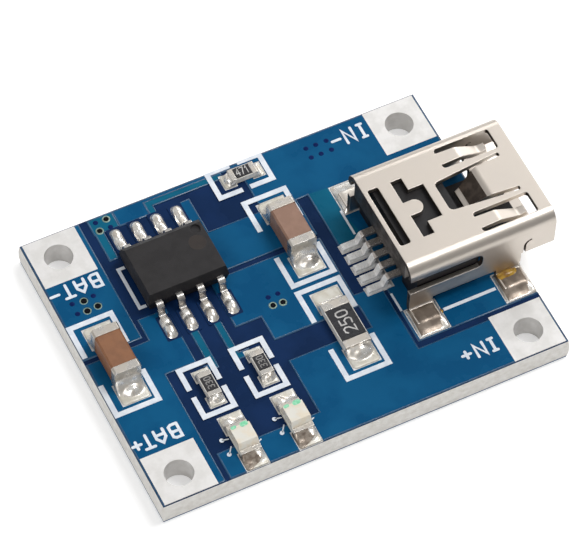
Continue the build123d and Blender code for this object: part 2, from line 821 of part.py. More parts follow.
def usb_contacts():
    """Five strips: a foot on its land, a step up and a long run into the core and along its tongue."""
    foot_z = board_t + contact_t / 2
    toe = shell_back - contact_out
    heel = toe + contact_foot
    tip = shell_front - tongue_short - contact_tip
    side_view = ((toe, foot_z), (heel, foot_z), (heel + contact_slope, contact_z), (tip, contact_z))
    solids = []
    for y in contact_places():
        points = [(x, y, z) for x, z in side_view]
        solids.append(bent_strip(points, contact_bend_r, contact_w, contact_t, (0, 1, 0)))
    return Compound(solids)


def usb_core():
    """The moulded core: a block that fills the rear of the shell and the tongue the plug slides over."""
    back = shell_back + core_back
    under = contact_z - contact_t / 2
    tongue_end = shell_front - tongue_short
    half = contact_w / 2 + fit
    core = along_socket(arch_profile(shell_t + core_fit), back, core_front)
    core += block(core_front, tongue_end, usb_y - tongue_w / 2, usb_y + tongue_w / 2, under, under + tongue_t)
    groove_end = tongue_end - contact_tip + fit
    for y in contact_places():
        core -= block(back, groove_end, y - half, y + half, under, under + contact_t + fit)
        core -= block(back, back + core_notch, y - half, y + half, board_t, under)
    return core


def usb_leg_solder():
    """The joints of the shell's legs, which keep clear of the wire terminals."""
    solids = []
    terminals = slab(terminal_faces(mask_gap), 0, shell_top)
    places = [(x, side) for x in leg_places() for side in (1, -1)]
    for land, (x, side) in zip(leg_lands(), places):
        foot = (x, usb_y + side * (shell_w / 2 + (leg_out - shell_t / 2) / 2))
        solid = joint(land, foot, (leg_w + 2 * wet, leg_out + 2 * wet), shell_t) - shell_leg(x, side)
        inner = shell_w / 2 - shell_t
        wall = span(x - leg_w, x + leg_w, usb_y - inner, usb_y + inner)
        solids.append(solid - slab(wall, 0, shell_top) - terminals)
    return Compound(solids)


def usb_contact_solder():
    solids = []
    middle = shell_back - contact_out + contact_foot / 2
    for land, contact in zip(contact_lands(), usb_contacts().solids()):
        top = (middle, land[0][1])
        solids.append(joint(land, top, (contact_foot, contact_w + wet), contact_t) - contact)
    return Compound(solids)


# The whole module, one file per piece

parts = {
    "board_core": board_core(),
    "top_copper": top_copper(),
    "bottom_copper": bottom_copper(),
    "top_mask": top_mask(),
    "bottom_mask": bottom_mask(),
    "top_silkscreen": top_silkscreen(),
    "via_barrels": via_barrels(),
    "charger_chip_body": chip_body(),
    "charger_chip_leads": chip_leads(),
    "charger_chip_thermal_pad": chip_thermal_pad(),
    "charger_chip_solder": chip_solder(),
    "usb_shell": usb_shell(),
    "usb_core": usb_core(),
    "usb_contacts": usb_contacts(),
    "usb_leg_solder": usb_leg_solder(),
    "usb_contact_solder": usb_contact_solder(),
}

terminal_names = ("battery_plus", "battery_minus", "input_plus", "input_minus")
for name, centre, hole in zip(terminal_names, terminal_centres(), hole_centres()):
    parts["terminal_" + name] = terminal(centre, hole)

for name, at in (("input_capacitor", input_cap_at), ("output_capacitor", output_cap_at)):
    parts[name + "_body"] = capacitor_body(at)
    parts[name + "_caps"] = capacitor_caps(at)
    parts[name + "_solder"] = chip_joints(big_lands(at), at, cap_l, cap_w, cap_band, cap_h * tall_climb)

small_size = (small_l, small_w, small_h, small_band)
resistors = (
    ("sense_resistor", sense_at, (res_l, res_w, res_h, res_band), sense_lands(), True),
    ("left_lamp_resistor", left_res_at, small_size, small_lands(left_res_at), True),
    ("right_lamp_resistor", right_res_at, small_size, small_lands(right_res_at), True),
    ("program_resistor", program_res_at, small_size, small_lands(program_res_at, along_y=False), False),
)
for name, at, (length, width, height, band), lands, along_y in resistors:
    plate, ends, coat = resistor(at, length, width, height, band, along_y)
    parts[name + "_plate"] = plate
    parts[name + "_caps"] = ends
    parts[name + "_coat"] = coat
    climb = height * low_climb
    parts[name + "_solder"] = chip_joints(lands, at, length, width, band, climb, along_y)

for name, at in (("left_lamp", left_lamp_at), ("right_lamp", right_lamp_at)):
    base, ends, lens, die = lamp(at)
    parts[name + "_base"] = base
    parts[name + "_caps"] = ends
    parts[name + "_lens"] = lens
    parts[name + "_die"] = die
    parts[name + "_solder"] = chip_joints(lamp_lands(at), at, lamp_l, lamp_w, lamp_band, lamp_base_h)

for name, shape in parts.items():
    export_step(shape, f"parts/{name}.step")
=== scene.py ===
"""The looks of a lithium battery charger board: its finishes, ink, solder and lamps, and the studio round it."""

import math

import bmesh
import bpy
from mathutils import Matrix, Vector, noise


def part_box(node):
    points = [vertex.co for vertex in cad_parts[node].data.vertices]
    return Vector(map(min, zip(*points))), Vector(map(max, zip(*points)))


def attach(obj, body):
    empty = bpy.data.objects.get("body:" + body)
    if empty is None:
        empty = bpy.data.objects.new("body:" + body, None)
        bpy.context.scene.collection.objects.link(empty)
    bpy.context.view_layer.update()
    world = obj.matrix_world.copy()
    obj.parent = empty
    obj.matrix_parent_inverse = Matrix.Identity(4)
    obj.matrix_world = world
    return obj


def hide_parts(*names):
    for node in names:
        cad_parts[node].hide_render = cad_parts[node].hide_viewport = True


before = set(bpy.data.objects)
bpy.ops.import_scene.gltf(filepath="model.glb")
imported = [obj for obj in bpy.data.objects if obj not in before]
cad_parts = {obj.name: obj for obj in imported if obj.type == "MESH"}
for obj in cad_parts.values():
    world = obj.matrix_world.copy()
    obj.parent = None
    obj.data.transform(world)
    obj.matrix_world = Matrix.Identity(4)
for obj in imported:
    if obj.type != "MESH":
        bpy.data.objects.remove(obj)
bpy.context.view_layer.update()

# The camera. It stands where the photograph's did, high in front of the board's long side and turned a little
# towards the battery end. Its turn, distance and focal length were fitted to the corners of the board, which is
# 25 mm long and 19 mm wide.
mm = 0.001
photo_width_px = 587
focal_length_px = 4066.8
sensor_mm = 36.0
camera_turn = {"Y": 1.4566, "X": -34.1645, "Z": 25.5290}
board_from_camera = Vector((-0.0964, -1.8075, -229.587)) * mm

turn = Matrix.Identity(3)
for axis, degrees in camera_turn.items():
    turn = turn @ Matrix.Rotation(math.radians(degrees), 3, axis)
camera_data = bpy.data.cameras.new("camera")
camera_data.sensor_fit = "HORIZONTAL"
camera_data.sensor_width = sensor_mm
camera_data.lens = focal_length_px / photo_width_px * sensor_mm
camera_data.clip_start = mm
camera = bpy.data.objects.new("camera", camera_data)
camera.matrix_world = Matrix.Translation(turn.transposed() @ -board_from_camera) @ turn.transposed().to_4x4()
bpy.context.scene.collection.objects.link(camera)
bpy.context.scene.camera = camera
bpy.context.scene.view_settings.view_transform = "Standard"


# The studio: a white table under a white tent, with a soft lamp high on the socket's side, a low one behind it and
# a wide one at the left in front. The tent is brighter overhead and behind than low in front. The table keeps the
# board's shadow, and its glow makes it white to the camera, in reflections and through clear things.
table_half = 3.0
table_drop = 0.02 * mm
table_shade = 0.80
table_glow = 0.36
tent_top = Vector((-0.10, 0.42, 0.90))
tent_low = {"level": -0.3, "strength": 0.30}
tent_high = {"level": 0.8, "strength": 0.52}
high_lamp = {"at": Vector((0.225, 0.00, 0.445)), "size": (0.20, 0.20), "watts": 1.03}
back_lamp = {"at": Vector((0.178, 0.198, 0.150)), "size": (0.18, 0.12), "watts": 0.28}
front_lamp = {"at": Vector((-0.27, -0.25, 0.28)), "size": (0.26, 0.20), "watts": 0.40}


def new_piece(name, vertices, faces, material, smooth=False, body="root"):
    """A mesh object of points in millimetres that rides on the board, its faces turned outward."""
    mesh = bpy.data.meshes.new(name)
    mesh.from_pydata([[c * mm for c in v] for v in vertices], [], faces)
    mesh.validate()
    shape = bmesh.new()
    shape.from_mesh(mesh)
    bmesh.ops.recalc_face_normals(shape, faces=shape.faces)
    shape.to_mesh(mesh)
    shape.free()
    mesh.polygons.foreach_set("use_smooth", [smooth] * len(mesh.polygons))
    mesh.materials.append(material)
    piece = bpy.data.objects.new(name, mesh)
    bpy.context.scene.collection.objects.link(piece)
    if body:
        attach(piece, body)
    return piece


def soft_lamp(name, at, size, watts):
    """A rectangular lamp that looks at the board."""
    data = bpy.data.lights.new(name, "AREA")
    data.shape = "RECTANGLE"
    data.size, data.size_y = size
    data.energy = watts
    source = bpy.data.objects.new(name, data)
    source.location = at
    source.rotation_euler = (-at).to_track_quat("-Z", "Y").to_euler()
    source.visible_camera = False
    bpy.context.scene.collection.objects.link(source)


table_paper = bpy.data.materials.new("table_paper")
table_paper.use_nodes = True
nodes, links = table_paper.node_tree.nodes, table_paper.node_tree.links
paper = nodes["Principled BSDF"]
paper.inputs["Base Color"].default_value = (table_shade, table_shade, table_shade, 1)
paper.inputs["Roughness"].default_value = 0.9
paper.inputs["Specular IOR Level"].default_value = 0.0
glow = nodes.new("ShaderNodeEmission")
path = nodes.new("ShaderNodeLightPath")
seen = path.outputs["Is Camera Ray"]
for ray in ("Is Glossy Ray", "Is Transmission Ray"):
    either = nodes.new("ShaderNodeMath")
    either.operation = "MAXIMUM"
    links.new(seen, either.inputs[0])
    links.new(path.outputs[ray], either.inputs[1])
    seen = either.outputs[0]
level = nodes.new("ShaderNodeMath")
level.operation = "MULTIPLY"
level.inputs[1].default_value = table_glow
links.new(seen, level.inputs[0])
links.new(level.outputs[0], glow.inputs["Strength"])
both = nodes.new("ShaderNodeAddShader")
links.new(paper.outputs["BSDF"], both.inputs[0])
links.new(glow.outputs["Emission"], both.inputs[1])
links.new(both.outputs["Shader"], nodes["Material Output"].inputs["Surface"])

half_mm = table_half / mm
table_corners = [(x * half_mm, y * half_mm, -table_drop / mm) for x, y in ((-1, -1), (1, -1), (1, 1), (-1, 1))]
table = new_piece("table", table_corners, [(0, 1, 2, 3)], table_paper, body=None)
soft_lamp("high_lamp", **high_lamp)
soft_lamp("back_lamp", **back_lamp)
soft_lamp("front_lamp", **front_lamp)

tent = bpy.data.worlds.new("tent")
tent.use_nodes = True
nodes, links = tent.node_tree.nodes, tent.node_tree.links
nodes["Background"].inputs["Color"].default_value = (1, 1, 1, 1)
direction = nodes.new("ShaderNodeTexCoord")
towards_top = nodes.new("ShaderNodeVectorMath")
towards_top.operation = "DOT_PRODUCT"
towards_top.inputs[1].default_value = tent_top
links.new(direction.outputs["Generated"], towards_top.inputs[0])
cloth = nodes.new("ShaderNodeMapRange")
cloth.inputs["From Min"].default_value = tent_low["level"]
cloth.inputs["From Max"].default_value = tent_high["level"]
cloth.inputs["To Min"].default_value = tent_low["strength"]
cloth.inputs["To Max"].default_value = tent_high["strength"]
links.new(towards_top.outputs["Value"], cloth.inputs["Value"])
links.new(cloth.outputs["Result"], nodes["Background"].inputs["Strength"])
bpy.context.scene.world = tent


# The bare board. Glass cloth in resin, scored along a panel's lines and snapped off, so its edges are pale and
# rough, with darker fibre ends. The finish group made here serves every other material: it mixes two colours and
# two roughnesses in soft patches, and gives a fine grain for a bump.
edge_samples = 16


def add_group_sockets(group, inputs, outputs):
    """Named inputs and outputs of a node group, each with its kind and, for inputs, its usual value."""
    for label, kind, usual in inputs:
        socket = group.interface.new_socket(label, in_out="INPUT", socket_type=kind)
        socket.default_value = usual
    for label, kind in outputs:
        group.interface.new_socket(label, in_out="OUTPUT", socket_type=kind)


patches = bpy.data.node_groups.new("soft_patches", "ShaderNodeTree")
add_group_sockets(
    patches,
    [("Color A", "NodeSocketColor", (0.8, 0.8, 0.8, 1)), ("Color B", "NodeSocketColor", (0.5, 0.5, 0.5, 1)),
     ("Roughness A", "NodeSocketFloat", 0.4), ("Roughness B", "NodeSocketFloat", 0.6),
     ("Patch Scale", "NodeSocketFloat", 1000.0), ("Grain Scale", "NodeSocketFloat", 8000.0),
     ("Low", "NodeSocketFloat", 0.4), ("High", "NodeSocketFloat", 0.6)],
    [("Color", "NodeSocketColor"), ("Roughness", "NodeSocketFloat"), ("Height", "NodeSocketFloat")],
)
inner = patches.nodes
given = inner.new("NodeGroupInput")
made = inner.new("NodeGroupOutput")
where = inner.new("ShaderNodeTexCoord")
wide = inner.new("ShaderNodeTexNoise")
wide.inputs["Detail"].default_value = 5.0
fine = inner.new("ShaderNodeTexNoise")
fine.inputs["Detail"].default_value = 3.0
share = inner.new("ShaderNodeMapRange")
tint = inner.new("ShaderNodeMix")
tint.data_type = "RGBA"
polish = inner.new("ShaderNodeMix")
for source, target in (
    (where.outputs["Object"], wide.inputs["Vector"]), (where.outputs["Object"], fine.inputs["Vector"]),
    (given.outputs["Patch Scale"], wide.inputs["Scale"]), (given.outputs["Grain Scale"], fine.inputs["Scale"]),
    (wide.outputs["Fac"], share.inputs["Value"]), (given.outputs["Low"], share.inputs["From Min"]),
    (given.outputs["High"], share.inputs["From Max"]), (share.outputs["Result"], tint.inputs["Factor"]),
    (given.outputs["Color A"], tint.inputs["A"]), (given.outputs["Color B"], tint.inputs["B"]),
    (share.outputs["Result"], polish.inputs["Factor"]), (given.outputs["Roughness A"], polish.inputs["A"]),
    (given.outputs["Roughness B"], polish.inputs["B"]), (tint.outputs["Result"], made.inputs["Color"]),
    (polish.outputs["Result"], made.inputs["Roughness"]), (fine.outputs["Fac"], made.inputs["Height"]),
):
    patches.links.new(source, target)


def linear(hex_color):
    """A colour written as on a paint chart, in the linear values that a shader takes."""
    channels = [(hex_color >> shift & 255) / 255 for shift in (16, 8, 0)]
    return tuple(c / 12.92 if c <= 0.04045 else ((c + 0.055) / 1.055) ** 2.4 for c in channels)


def finish(name, color_a, color_b, rough_a, rough_b, patch, grain, depth, metallic=0.0, spread=0.2, gloss=0.5,
           rounding=0.0):
    """A material whose two colours and roughnesses meet in patches. Lengths are in millimetres, rounding being the
    radius at which its sharp edges seem to be turned."""
    material = bpy.data.materials.new(name)
    material.use_nodes = True
    tree = material.node_tree
    shader = tree.nodes["Principled BSDF"]
    shader.inputs["Metallic"].default_value = metallic
    shader.inputs["Specular IOR Level"].default_value = gloss
    group = tree.nodes.new("ShaderNodeGroup")
    group.node_tree = patches
    group.inputs["Color A"].default_value = (*linear(color_a), 1)
    group.inputs["Color B"].default_value = (*linear(color_b), 1)
    group.inputs["Roughness A"].default_value = rough_a
    group.inputs["Roughness B"].default_value = rough_b
    group.inputs["Patch Scale"].default_value = 1 / (patch * mm)
    group.inputs["Grain Scale"].default_value = 1 / (grain * mm)
    group.inputs["Low"].default_value = 0.5 - spread / 2
    group.inputs["High"].default_value = 0.5 + spread / 2
    bump = tree.nodes.new("ShaderNodeBump")
    bump.inputs["Distance"].default_value = depth * mm
    tree.links.new(group.outputs["Color"], shader.inputs["Base Color"])
    tree.links.new(group.outputs["Roughness"], shader.inputs["Roughness"])
    tree.links.new(group.outputs["Height"], bump.inputs["Height"])
    tree.links.new(bump.outputs["Normal"], shader.inputs["Normal"])
    if rounding:
        turned_edge = tree.nodes.new("ShaderNodeBevel")
        turned_edge.samples = edge_samples
        turned_edge.inputs["Radius"].default_value = rounding * mm
        tree.links.new(turned_edge.outputs["Normal"], bump.inputs["Normal"])
    return material


def dress(node, material):
    """Gives a CAD piece its finish, in place of the plain one that it came with."""
    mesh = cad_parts[node].data
    mesh.materials.clear()
    mesh.materials.append(material)
    mesh.polygons.foreach_set("material_index", [0] * len(mesh.polygons))


dress("board_core", finish("snapped_laminate", 0xFAF8F4, 0xE2DED7, 0.75, 0.95, 0.35, 0.06, 0.03, spread=0.6))


# Copper foil, etched into nets. Both layers lie under the mask and stop short of the snapped edges. The mask leaves
# lands of the top one open at the parts, and there it is tinned, so no bare copper shows.
foil = finish("etched_copper", 0xB87348, 0x9C5C38, 0.35, 0.5, 0.8, 0.05, 0.004, metallic=1.0)
tinned = finish("tinned_pad", 0xE2E0DE, 0xD6D4D1, 0.42, 0.52, 0.9, 0.10, 0.006, metallic=0.3)
dress("bottom_copper", foil)
dress("top_copper", tinned)


# Solder mask. A glossy blue lacquer, printed over copper and bare laminate alike: bright blue over the copper,
# where metal shines through, and navy between the pours. It rounds off along the copper's edges, where it is thin,
# and there it is painted a darker, glossier blue: the darkness is painted shade.
board_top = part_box("top_mask")[1].z / mm
copper_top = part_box("top_copper")[1].z / mm
mask_drop = 0.05
mask_level_slack = 0.01
sharpest_mitre = 0.35
over_copper = finish("mask_over_copper", 0x084C76, 0x0C557F, 0.26, 0.32, 2.2, 0.3, 0.002, gloss=0.07)
over_laminate = finish("mask_over_laminate", 0x10274A, 0x122C54, 0.26, 0.32, 2.2, 0.3, 0.002, gloss=0.07)
over_trace = finish("mask_over_narrow_copper", 0x0B5875, 0x0F607D, 0.26, 0.32, 2.2, 0.3, 0.002, gloss=0.07)
# The copper's edges and the mask's shoulders are a darker, glossier blue: the darkness is painted shade, and the
# lamps give the highlights.
edge_mask_painted_shade = finish("mask_edges_painted_shade", 0x10456B, 0x134D74, 0.26, 0.32, 1.2, 0.3, 0.002, gloss=0.7)
narrow_copper = (
    ((-8.35, -6.80), (6.35, 9.45)), ((-6.20, -4.45), (-2.65, 0.85)), ((-4.90, -0.25), (7.95, 9.23)),
    ((3.80, 5.05), (1.65, 5.80)),
)


def on_narrow_copper(spot, normal):
    """Whether a spot on the mask's upper level lies over one of the narrow pours."""
    return spot.z > board_top - mask_level_slack and any(
        x0 < spot.x < x1 and y0 < spot.y < y1 for (x0, x1), (y0, y1) in narrow_copper)


def add_finish(piece, material, belongs):
    """Gives a further finish to the faces that a test picks, by their centre in millimetres and their normal."""
    mesh = piece.data
    mesh.materials.append(material)
    for face in mesh.polygons:
        if belongs(face.center / mm, face.normal):
            face.material_index = len(mesh.materials) - 1


dress("bottom_mask", over_copper)
dress("top_mask", over_copper)
mask_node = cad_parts["top_mask"]
add_finish(mask_node, over_laminate, lambda spot, normal: spot.z < board_top - mask_level_slack)
add_finish(mask_node, over_trace, on_narrow_copper)
add_finish(mask_node, edge_mask_painted_shade, lambda spot, normal: abs(normal.z) < 0.5)

step_edges, step_ways = [], {}
for face in mask_node.data.polygons:
    corners = [mask_node.data.vertices[i].co / mm for i in face.vertices]
    foot = min(corner.z for corner in corners)
    if abs(face.normal.z) > 0.5 or abs(foot - (board_top - mask_drop)) > mask_level_slack:
        continue
    edge = [corner for corner in corners if corner.z > board_top - mask_level_slack]
    way = Vector(face.normal.xy).normalized()
    if len(edge) == 2:
        places = [(round(corner.x, 3), round(corner.y, 3)) for corner in edge]
        step_edges.append(places)
        for place in places:
            step_ways.setdefault(place, []).append(way)

shoulder_profile = [(-0.03, 0.002), (0.008, 0.0005), (0.04, -0.018), (0.07, -0.049)]
vertices, faces, columns = [], [], {}
for place, ways in step_ways.items():
    mitre = ways[0] + ways[-1]
    mitre = mitre / max(sharpest_mitre, mitre.length_squared / 2) if len(ways) == 2 else ways[0]
    columns[place] = len(vertices)
    vertices += [(place[0] + mitre.x * out, place[1] + mitre.y * out, board_top + up)
                 for out, up in shoulder_profile]
    vertices.append((place[0], place[1], board_top + shoulder_profile[-1][1]))
count = len(shoulder_profile) + 1
for a, b in step_edges:
    a, b = columns[a], columns[b]
    faces += [(a + k, b + k, b + (k + 1) % count, a + (k + 1) % count) for k in range(count)]
shoulders = new_piece("mask_shoulders", vertices, faces, edge_mask_painted_shade, smooth=True)


# White ink, screened on the cured mask: frames, the words beside the terminals, and the lamps' marks. The letters
# are single strokes with round ends. The words stand upside down to someone in front, as the real ones do.
ink_thickness = 0.02
letter_stroke = 0.17
stroke_lift = 0.03
white_ink = finish("white_ink", 0xE3E8EE, 0xD5DCE6, 0.55, 0.7, 0.5, 0.12, 0.006)
dress("top_silkscreen", white_ink)
letter_strokes = {
    "A": [[(0, 0), (0, 0.60), (0.5, 0.98), (1, 0.60), (1, 0)], [(0.05, 0.36), (0.95, 0.36)]],
    "B": [[(0, 0), (0, 1), (0.62, 1), (0.90, 0.90), (0.90, 0.60), (0.62, 0.53)],
          [(0.05, 0.53), (0.62, 0.53), (0.93, 0.47), (0.95, 0.12), (0.66, 0), (0.05, 0)]],
    "T": [[(0, 1), (1, 1)], [(0.5, 1), (0.5, 0)]],
    "N": [[(0, 0), (0, 1), (1, 0), (1, 1)]],
    "I": [[(0.5, 0), (0.5, 1)], [(0, 1), (1, 1)], [(0, 0), (1, 0)]],
    "+": [[(0, 0.5), (1, 0.5)], [(0.5, 0.22), (0.5, 0.78)]],
    "-": [[(0, 0.5), (1, 0.5)]],
}
words = {
    "battery_minus_word": (5.96, 0.87, (("B", -9.34), ("A", -10.22), ("T", -11.04), ("-", -11.86))),
    "battery_plus_word": (-4.94, 0.87, (("B", -9.59), ("A", -10.44), ("T", -11.22), ("+", -11.90))),
    "input_minus_word": (8.88, 0.94, (("I", 8.78), ("N", 8.08), ("-", 7.23))),
    "input_plus_word": (-7.49, 0.82, (("I", 8.68), ("N", 8.03), ("+", 7.15))),
}
letter_widths = {"I": 0.28, "-": 0.50, "+": 0.50}
usual_letter_width = 0.54


def letter(sign, start, right, up):
    """One letter's strokes, from its lower left corner, with right and up as wide and high as the letter."""
    return [[Vector(start) + Vector(right) * x + Vector(up) * y for x, y in points]
            for points in letter_strokes[sign]]


def band(points, width):
    """The two sides of a stroke along a bent line, with mitred corners, then the round caps of its two ends."""
    left, right = [], []
    for i, point in enumerate(points):
        before = (point - points[i - 1]).normalized() if i else None
        after = (points[i + 1] - point).normalized() if i + 1 < len(points) else None
        along = ((before or after) + (after or before)).normalized()
        across = Vector((-along.y, along.x)) * width / 2 / max(0.5, along.dot(after or before))
        left.append(point + across)
        right.append(point - across)
    caps = []
    for end, other in ((points[-1], points[-2]), (points[0], points[1])):
        away = (end - other).normalized() * width / 2
        side = Vector((-away.y, away.x))
        angles = [k * math.pi / 6 for k in range(1, 6)]
        caps.append([end + side * math.cos(angle) + away * math.sin(angle) for angle in angles])
    return left, right, caps


def ink_strokes(name, strokes, width, low, thickness, material):
    """Strokes as one thin piece; each lies a little higher than the one before, so that crossings stay clean."""
    vertices, faces = [], []
    for k, points in enumerate(strokes):
        left, right, (end_cap, start_cap) = band([Vector(p) for p in points], width)
        outline = left + end_cap + right[::-1] + start_cap
        count, n = len(outline), len(left)
        base, top = len(vertices), low + thickness * (1 + stroke_lift * k)
        vertices += [(p.x, p.y, z) for z in (low, top) for p in outline]
        rims = [(base + i, base + (i + 1) % count) for i in range(count)]
        faces += [(a, b, b + count, a + count) for a, b in rims]
        far = len(end_cap) + 2 * n - 1
        flats = [(i, i + 1, far - i - 1, far - i) for i in range(n - 1)]
        flats += [tuple(range(n - 1, n + len(end_cap) + 1)), (*range(far, count), 0)]
        faces += [tuple(level + i for i in flat) for level in (base, base + count) for flat in flats]
    piece = new_piece(name, vertices, faces, material)
    return piece


for name, (bottom, height, signs) in words.items():
    strokes = []
    for sign, start in signs:
        strokes += letter(sign, (start, bottom), (-letter_widths.get(sign, usual_letter_width), 0), (0, -height))
    ink_strokes(name, strokes, letter_stroke, board_top, ink_thickness, white_ink)


# The four wire terminals. Tinned copper pads with a plated hole each, dipped and levelled with hot air, which
# leaves them pale, matt and slightly uneven.
for terminal in ("battery_plus", "battery_minus", "input_plus", "input_minus"):
    dress(f"terminal_{terminal}", tinned)


# Plated vias. Small barrels that carry a net through the board: some stand open in the mask, with a greenish ring
# round a hole drawn as a dark disc of painted shade, and the others are tented, so that the mask sinks into them a
# little. The three barrels beside the battery's minus terminal stand a little lower, and the mask comes up to their
# rings.
dress("via_barrels", finish("via_plating", 0x8B9C91, 0x74867C, 0.45, 0.6, 0.3, 0.08, 0.004, metallic=0.5))
barrels = [(-10.87, 3.88), (-10.77, 4.57), (-10.20, 3.93)]
open_vias = [(-7.30, 9.10), (-7.97, 8.50), (-1.35, -0.27), (-0.75, -0.32)]
tented_vias = [(-11.45, 4.65), (-10.15, 4.65), (-11.45, 3.92), (-1.35, 0.33), (-0.75, 0.33), (-7.95, 9.12),
               (-7.30, 8.50)] + [(x, y) for x in (5.15, 5.78, 6.45) for y in (8.65, 7.95)]


def turned(name, profile, level, centres, material, ring=False, sides=20):
    """Copies of one turned form, as one piece. Its profile is radius and height over a level, and a ring's profile
    closes on itself."""
    vertices, faces = [], []
    for x, y in centres:
        rows = [len(vertices) + sides * j for j in range(len(profile))]
        for radius, up in profile:
            angles = [math.tau * k / sides for k in range(sides)]
            vertices += [(x + radius * math.cos(a), y + radius * math.sin(a), level + up) for a in angles]
        for low, high in zip(rows, rows[1:] + (rows[:1] if ring else [])):
            faces += [(low + k, low + (k + 1) % sides, high + (k + 1) % sides, high + k) for k in range(sides)]
        if not ring:
            faces += [tuple(range(row, row + sides)) for row in (rows[0], rows[-1])]
    piece = new_piece(name, vertices, faces, material, smooth=True)
    return piece


via_ring = finish("via_ring", 0x8FA396, 0x6F8379, 0.40, 0.55, 0.2, 0.06, 0.004, metallic=0.4)
# The open holes are dark discs set in the barrels' mouths: painted shade.
via_hole_shade = finish("via_hole", 0x05070C, 0x090C14, 0.7, 0.8, 0.2, 0.06, 0.004, gloss=0.1)
via_tent = finish("via_tent", 0x091B4C, 0x0B2256, 0.35, 0.45, 0.2, 0.06, 0.004, gloss=0.05)
ring_profile = [(0.13, -0.010), (0.13, 0.012), (0.19, 0.022), (0.24, 0.004), (0.25, -0.010)]
hole_profile = [(0.16, -0.010), (0.16, 0.020), (0.08, 0.018)]
tent_profile = [(0.16, -0.010), (0.15, 0.003), (0.09, 0.006), (0.04, 0.003)]
barrel_ring_profile = [(0.15, -0.010), (0.15, 0.012), (0.24, 0.012), (0.27, -0.010)]
barrel_mask_profile = [(0.24, 0.000), (0.25, 0.030), (0.34, 0.032), (0.36, 0.000)]
barrel_hole_profile = [(0.18, -0.005), (0.18, 0.015), (0.08, 0.014)]
turned("open_via_rings", ring_profile, board_top, open_vias, via_ring, ring=True)
turned("barrel_rings", barrel_ring_profile, copper_top, barrels, via_ring, ring=True)
turned("mask_round_barrels", barrel_mask_profile, copper_top, barrels, over_copper, ring=True)
turned("open_via_painted_shade", hole_profile, board_top, open_vias, via_hole_shade)
turned("barrel_painted_shade", barrel_hole_profile, copper_top, barrels, via_hole_shade)
turned("tented_vias", tent_profile, board_top, tented_vias, via_tent)


# The charger chip. A black moulding, matt and slightly grainy from its mould, with the round mark of an ejector pin.
# It stands on eight bent leads of tinned copper strip, and the metal pad under it is soldered to the ground. Each
# lead's toe stands in a rounded bead of solder, on a land with round corners.
chip_centre = Vector((-5.35, 4.20))
lead_pitch = 1.27
lead_places = [chip_centre.x + (i - 1.5) * lead_pitch for i in range(4)]
lead_land = {"start": 2.50, "end": 4.08, "half": 0.34, "corner": 0.30}
moulding = finish("mould_compound", 0x2A2829, 0x242223, 0.42, 0.52, 0.8, 0.05, 0.006, gloss=0.22, rounding=0.06)
dress("charger_chip_body", moulding)
chip_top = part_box("charger_chip_body")[1].z / mm
ejector_profile = [(0.52, -0.010), (0.51, 0.001), (0.50, 0.001), (0.20, 0.001)]
ejector_mark = finish("ejector_mark", 0x352F2C, 0x302A28, 0.38, 0.48, 0.5, 0.05, 0.004, gloss=0.22)
turned("chip_ejector_mark", ejector_profile, chip_top, [(-3.75, 4.50)], ejector_mark, sides=40)
lead_metal = finish("tinned_leads", 0xCBC8C4, 0xB5B0AB, 0.22, 0.32, 0.4, 0.20, 0.001, metallic=1.0,
                    rounding=0.04)
dress("charger_chip_leads", lead_metal)
dress("charger_chip_thermal_pad", lead_metal)
solder_metal = finish("bright_solder", 0xFAF8F3, 0xDDD5CA, 0.20, 0.34, 0.45, 0.30, 0.0005, metallic=0.8)
flat_solder = finish("flat_solder", 0xD6D3CA, 0xC8C3B6, 0.40, 0.50, 0.45, 0.20, 0.002, metallic=0.4)
pool_edge = 0.10
pool_height = 0.06
lying_height = 1.25 * pool_height
ripple_height = 0.012
ripples_per_mm = 1.6
smoothing_passes = 6


def solder_joint(centre, way, land, metal, climb, reach, hollow=2.0, pool=pool_height, beads=()):
    """The points, rows and columns of one joint, as heights over its land, from the part's centre outward along way.

    The metal stands on the land from its back to its face, as wide as twice its half. The solder climbs it and
    falls off in a hollow slope within reach, in front and beside. A bead is its place along and across the land,
    its half length, half width and height.
    """
    start, end, half, corner = (land[key] for key in ("start", "end", "half", "corner"))
    middle, straight = (start + end) / 2, (end - start) / 2 - corner
    back, face, metal_half = metal
    across = Vector((-way[1], way[0]))
    columns = [math.sin(math.pi / 2 * k / 10) for k in range(-10, 11)]
    shares = [k / 30 for k in range(27)] + [0.9 + 0.1 * math.sin(math.pi / 2 * k / 5) for k in range(6)]
    rows = [start + (end - start) * share for share in shares]
    spots, heights = [], []
    for u in rows:
        inset = max(0.0, abs(u - middle) - straight)
        width = half - corner + math.sqrt(max(0.0, corner ** 2 - inset ** 2))
        for column in columns:
            v = column * width
            past = Vector((abs(u - middle) - straight, abs(v) - (half - corner)))
            outside = Vector((max(past.x, 0), max(past.y, 0))).length + min(max(past), 0) - corner
            rim = min(1.0, max(0.0, -outside / pool_edge))
            front = max(0.0, (u - face) / reach[0])
            beside = max(0.0, (abs(v) - metal_half) / reach[1], (back - u) / reach[1])
            slope = max(0.0, 1 - math.hypot(front, beside)) ** hollow
            height = pool * math.sqrt(1 - (1 - rim) ** 2) + (climb - pool) * slope * min(1.0, rim * 3)
            for at, aside, half_long, half_wide, high in beads:
                bulge = 1 - ((u - at) / half_long) ** 2 - ((v - aside) / half_wide) ** 2
                height = max(height, high * math.sqrt(max(0.0, bulge)) * min(1.0, rim * 3))
            spot = Vector(centre) + Vector(way) * u + across * v
            spots.append(spot)
            ripple = noise.noise(Vector((spot.x, spot.y, 0)) * ripples_per_mm)
            heights.append(height + ripple_height * rim * ripple)
    wide = len(columns)
    within = [i for i in range(wide, len(heights) - wide) if i % wide not in (0, wide - 1)]
    for _ in range(smoothing_passes):
        rough = list(heights)
        for i in within:
            heights[i] = (4 * rough[i] + rough[i - 1] + rough[i + 1] + rough[i - wide] + rough[i + wide]) / 8
    return [(spot.x, spot.y, max(0.0, h)) for spot, h in zip(spots, heights)], len(rows), wide


